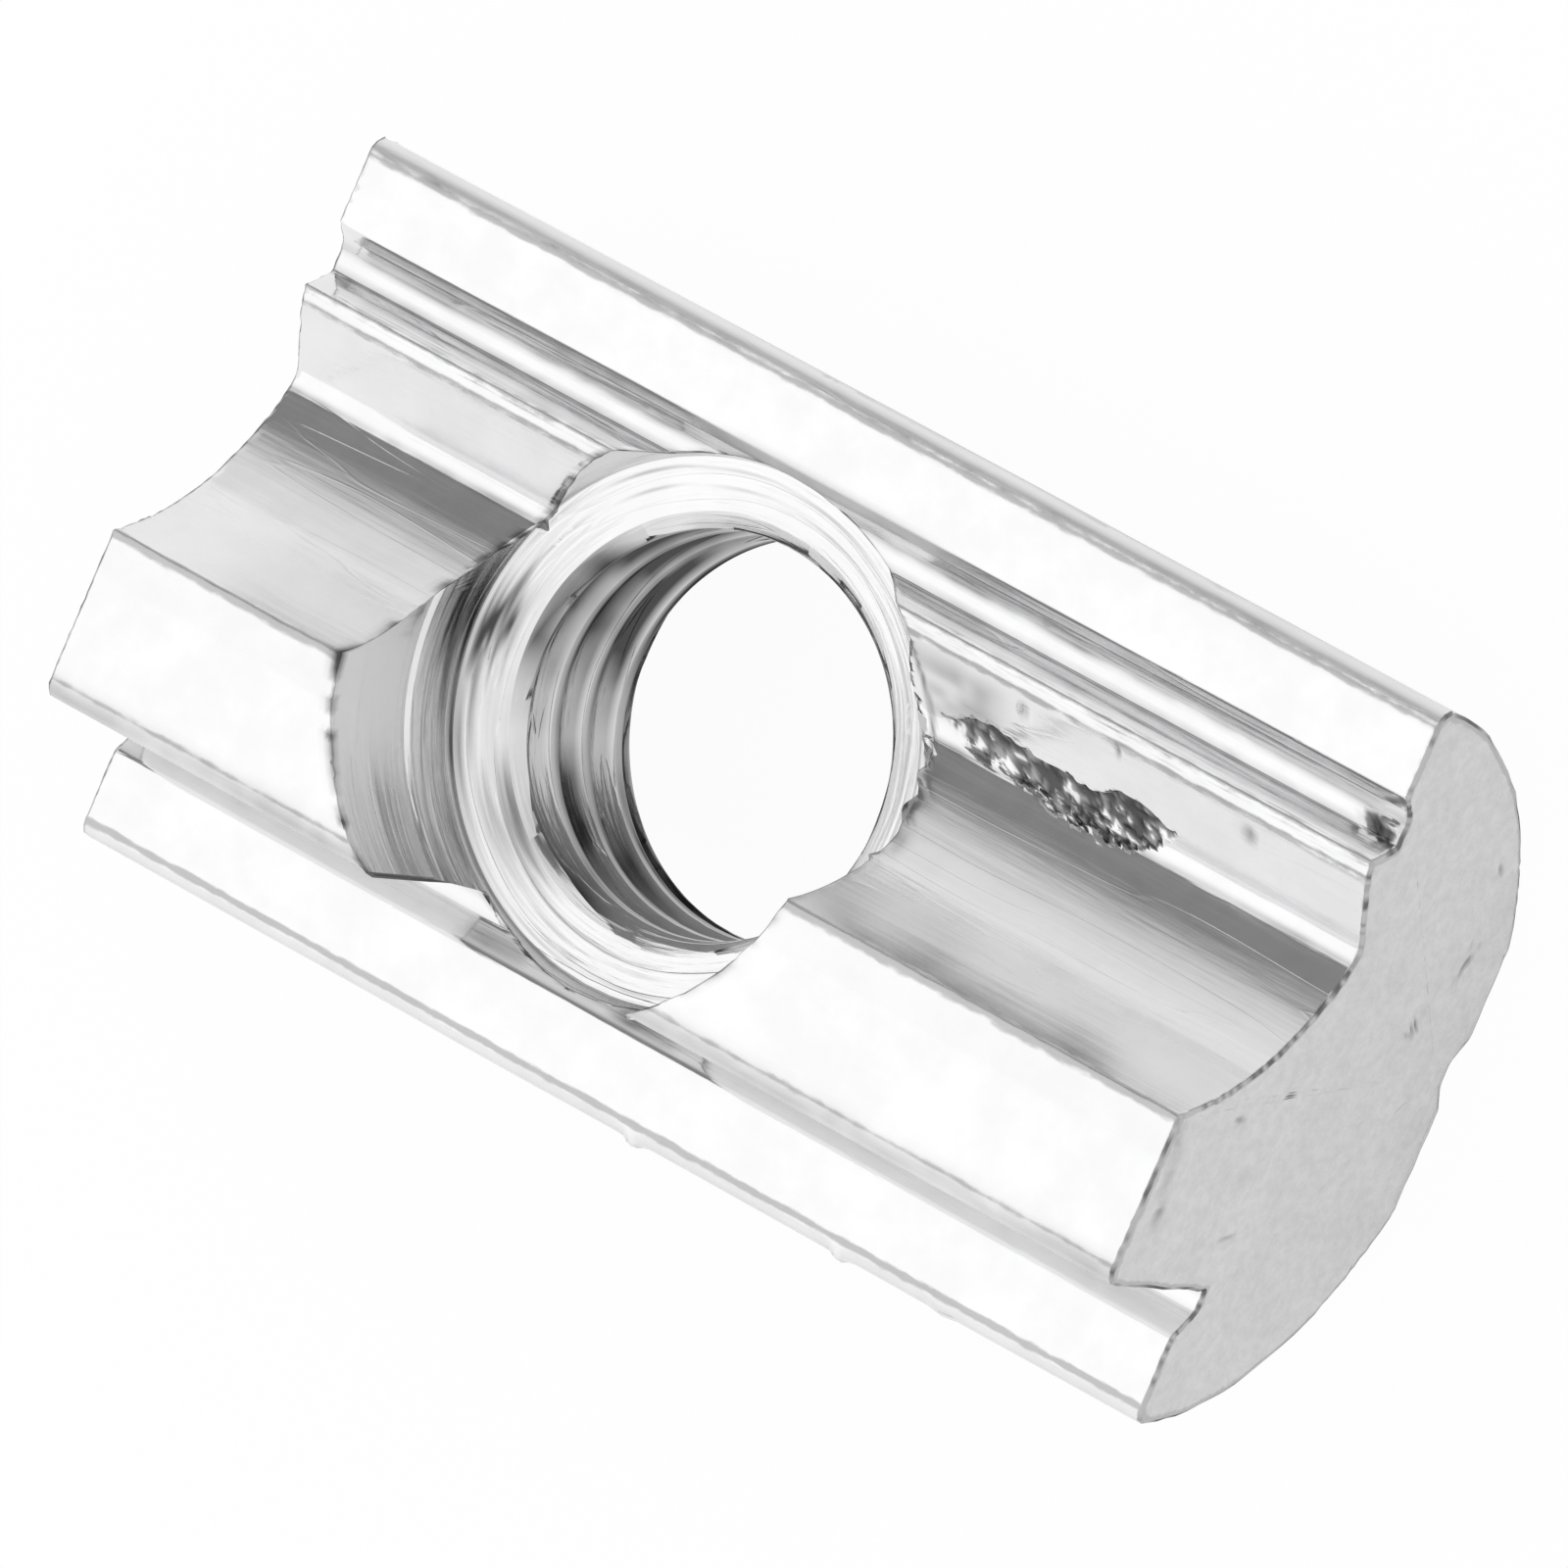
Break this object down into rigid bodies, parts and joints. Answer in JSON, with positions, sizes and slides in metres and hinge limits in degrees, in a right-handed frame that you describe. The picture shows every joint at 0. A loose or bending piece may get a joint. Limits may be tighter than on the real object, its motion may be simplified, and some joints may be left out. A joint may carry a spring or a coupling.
{
  "type": "t slot nut",
  "caption": "Half-round steel nut with a stepped neck and a threaded hole, dropped or rolled into a framing slot to take a bolt.",
  "frame": {"origin": "middle of the flat back, on the surface the nut lies on", "axes": "+X along the slot, +Y across it towards the low side of the neck, +Z out of the neck along the threaded hole"},
  "size_m": [0.0226, 0.0128, 0.0086],
  "materials": {
    "zinc_plate": "bright zinc plate over drawn steel, with draw lines, tool marks and small burrs"
  },
  "bodies": {
    "root": {"nut_body": "zinc_plate"}
  },
  "joints": []
}
